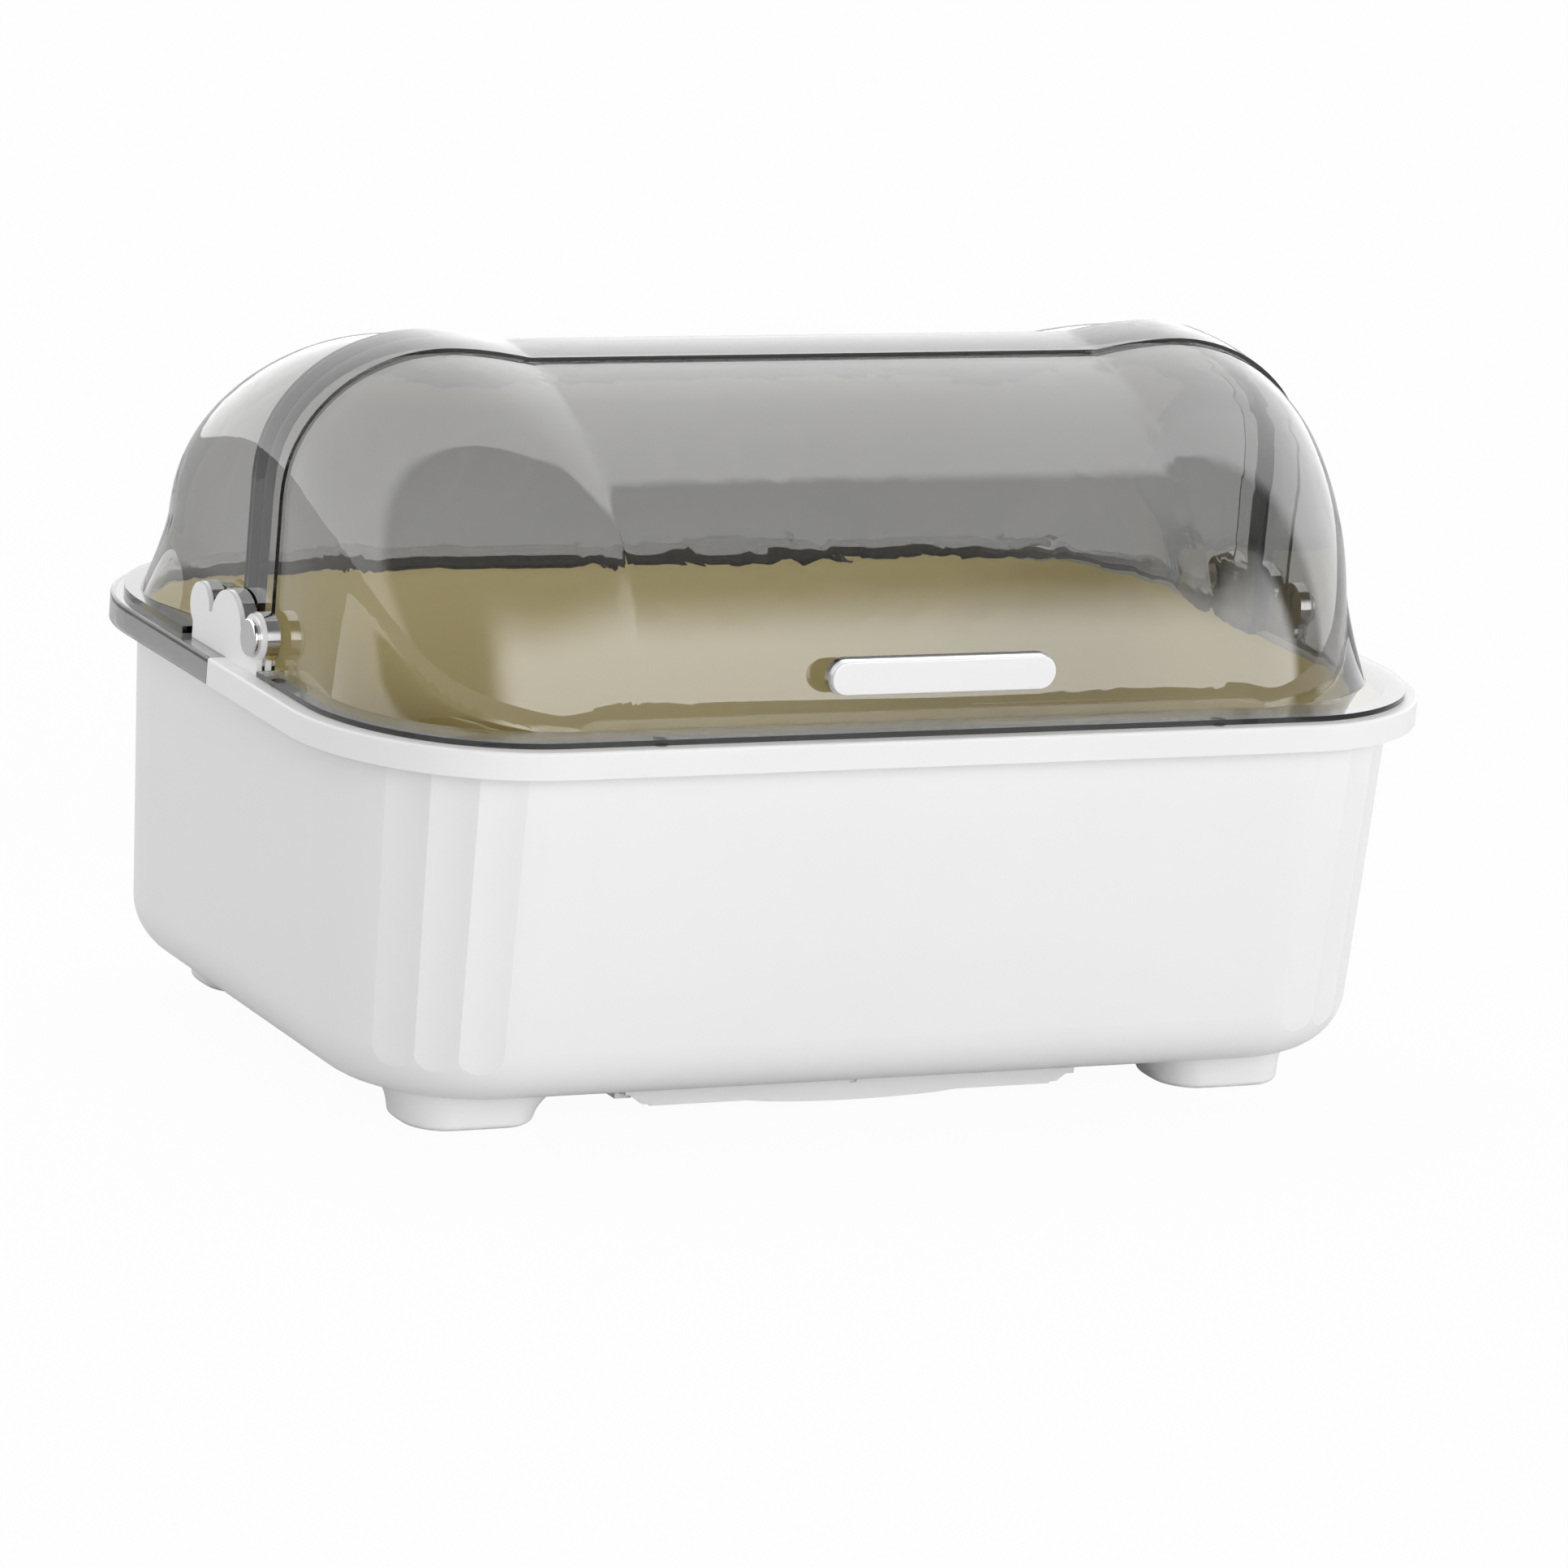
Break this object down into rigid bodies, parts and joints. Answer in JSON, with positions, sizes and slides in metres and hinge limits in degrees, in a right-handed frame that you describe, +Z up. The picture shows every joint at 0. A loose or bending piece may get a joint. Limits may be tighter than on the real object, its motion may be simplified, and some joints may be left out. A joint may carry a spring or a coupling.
{
  "type": "covered dish drying rack",
  "caption": "White dish drying rack with a smoked clear cover in two halves, inner drain basket and racks, and a drip drawer below.",
  "frame": {"origin": "on the table, under the middle of the tub", "axes": "+X to the right along the length, +Y to the back, +Z up; the front cover's handle faces -Y"},
  "size_m": [0.44, 0.293, 0.2629],
  "materials": {
    "white_shell": "satin",
    "smoke_clear": "gloss, see-through",
    "beige": "satin",
    "chrome": "polished",
    "white_trim": "gloss",
    "steel": "satin",
    "soft_pad": "matt"
  },
  "bodies": {
    "base": {"tub": "white_shell", "foot_front_left": "white_shell", "foot_front_right": "white_shell", "foot_rear_left": "white_shell", "foot_rear_right": "white_shell", "foot_pads": "soft_pad", "foot_screws": "steel", "tray_rail_left": "white_shell", "tray_rail_right": "white_shell", "rail_screws": "steel", "hinge_block_left": "chrome", "hinge_block_right": "chrome", "hinge_face_left": "white_trim", "hinge_face_right": "white_trim", "hinge_button_left": "white_trim", "hinge_button_right": "white_trim", "hinge_screws": "steel", "cover_pin_left": "steel", "cover_pin_right": "steel", "pin_rings": "steel", "drain_basket": "beige", "rear_cover": "smoke_clear"},
    "front_cover": {"front_cover": "smoke_clear", "handle_bar": "white_trim", "handle_rim": "chrome", "handle_mount": "chrome", "handle_screws": "steel", "cover_bumpers": "soft_pad"},
    "drip_tray": {"drip_tray": "white_shell"},
    "plate_rack": {"plate_rack": "beige", "plate_dividers": "beige"},
    "bowl_rack": {"bowl_rack": "beige", "bowl_dividers": "beige"},
    "cutlery_holder": {"cutlery_holder": "beige", "cutlery_divider": "beige"}
  },
  "joints": [
    {"name": "cover_hinge", "type": "hinge", "parent": "base", "child": "front_cover", "pos_m": [0, 0.024, 0.1595], "axis": [-1, 0, 0], "range_deg": [0, 85]},
    {"name": "tray_slide", "type": "slide", "parent": "base", "child": "drip_tray", "axis": [0, -1, 0], "range_m": [0, 0.15]},
    {"name": "plate_rack_lift", "type": "slide", "parent": "base", "child": "plate_rack", "axis": [0, 0, 1], "range_m": [0, 0.12]},
    {"name": "bowl_rack_lift", "type": "slide", "parent": "base", "child": "bowl_rack", "axis": [0, 0, 1], "range_m": [0, 0.12]},
    {"name": "cutlery_lift", "type": "slide", "parent": "base", "child": "cutlery_holder", "axis": [0, 0, 1], "range_m": [0, 0.09]}
  ]
}
